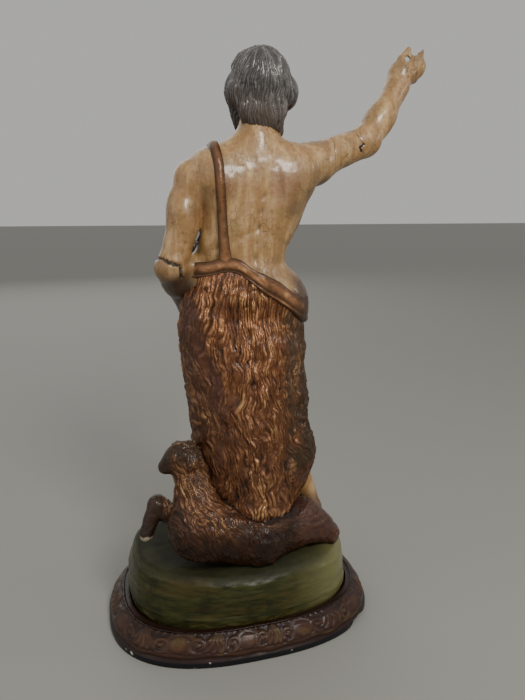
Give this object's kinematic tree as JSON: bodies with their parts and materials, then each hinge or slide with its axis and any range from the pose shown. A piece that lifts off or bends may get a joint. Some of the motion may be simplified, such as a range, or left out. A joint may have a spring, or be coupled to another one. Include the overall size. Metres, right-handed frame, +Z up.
{
  "type": "saint statue",
  "caption": "Painted plaster saint with a raised hand, in a long fur pelt with a lamb lying behind the legs, on a green mound set in an oval leaf-moulded plinth.",
  "frame": {"origin": "middle of the plinth's flat underside, on the surface it stands on", "axes": "+Z up; the figure looks along -Y; the raised right arm is on the -X side and the lamb's head on the +X side"},
  "size_m": [0.3128, 0.185, 0.5167],
  "materials": {
    "painted_plaster": "varnished oil paint on cast plaster, worn and finely cracked",
    "bronzed_plaster": "red-brown paint with worn bronze on the raised leaves, varnished"
  },
  "bodies": {
    "root": {"saint_and_lamb": "painted_plaster", "plinth": "bronzed_plaster"}
  },
  "joints": []
}
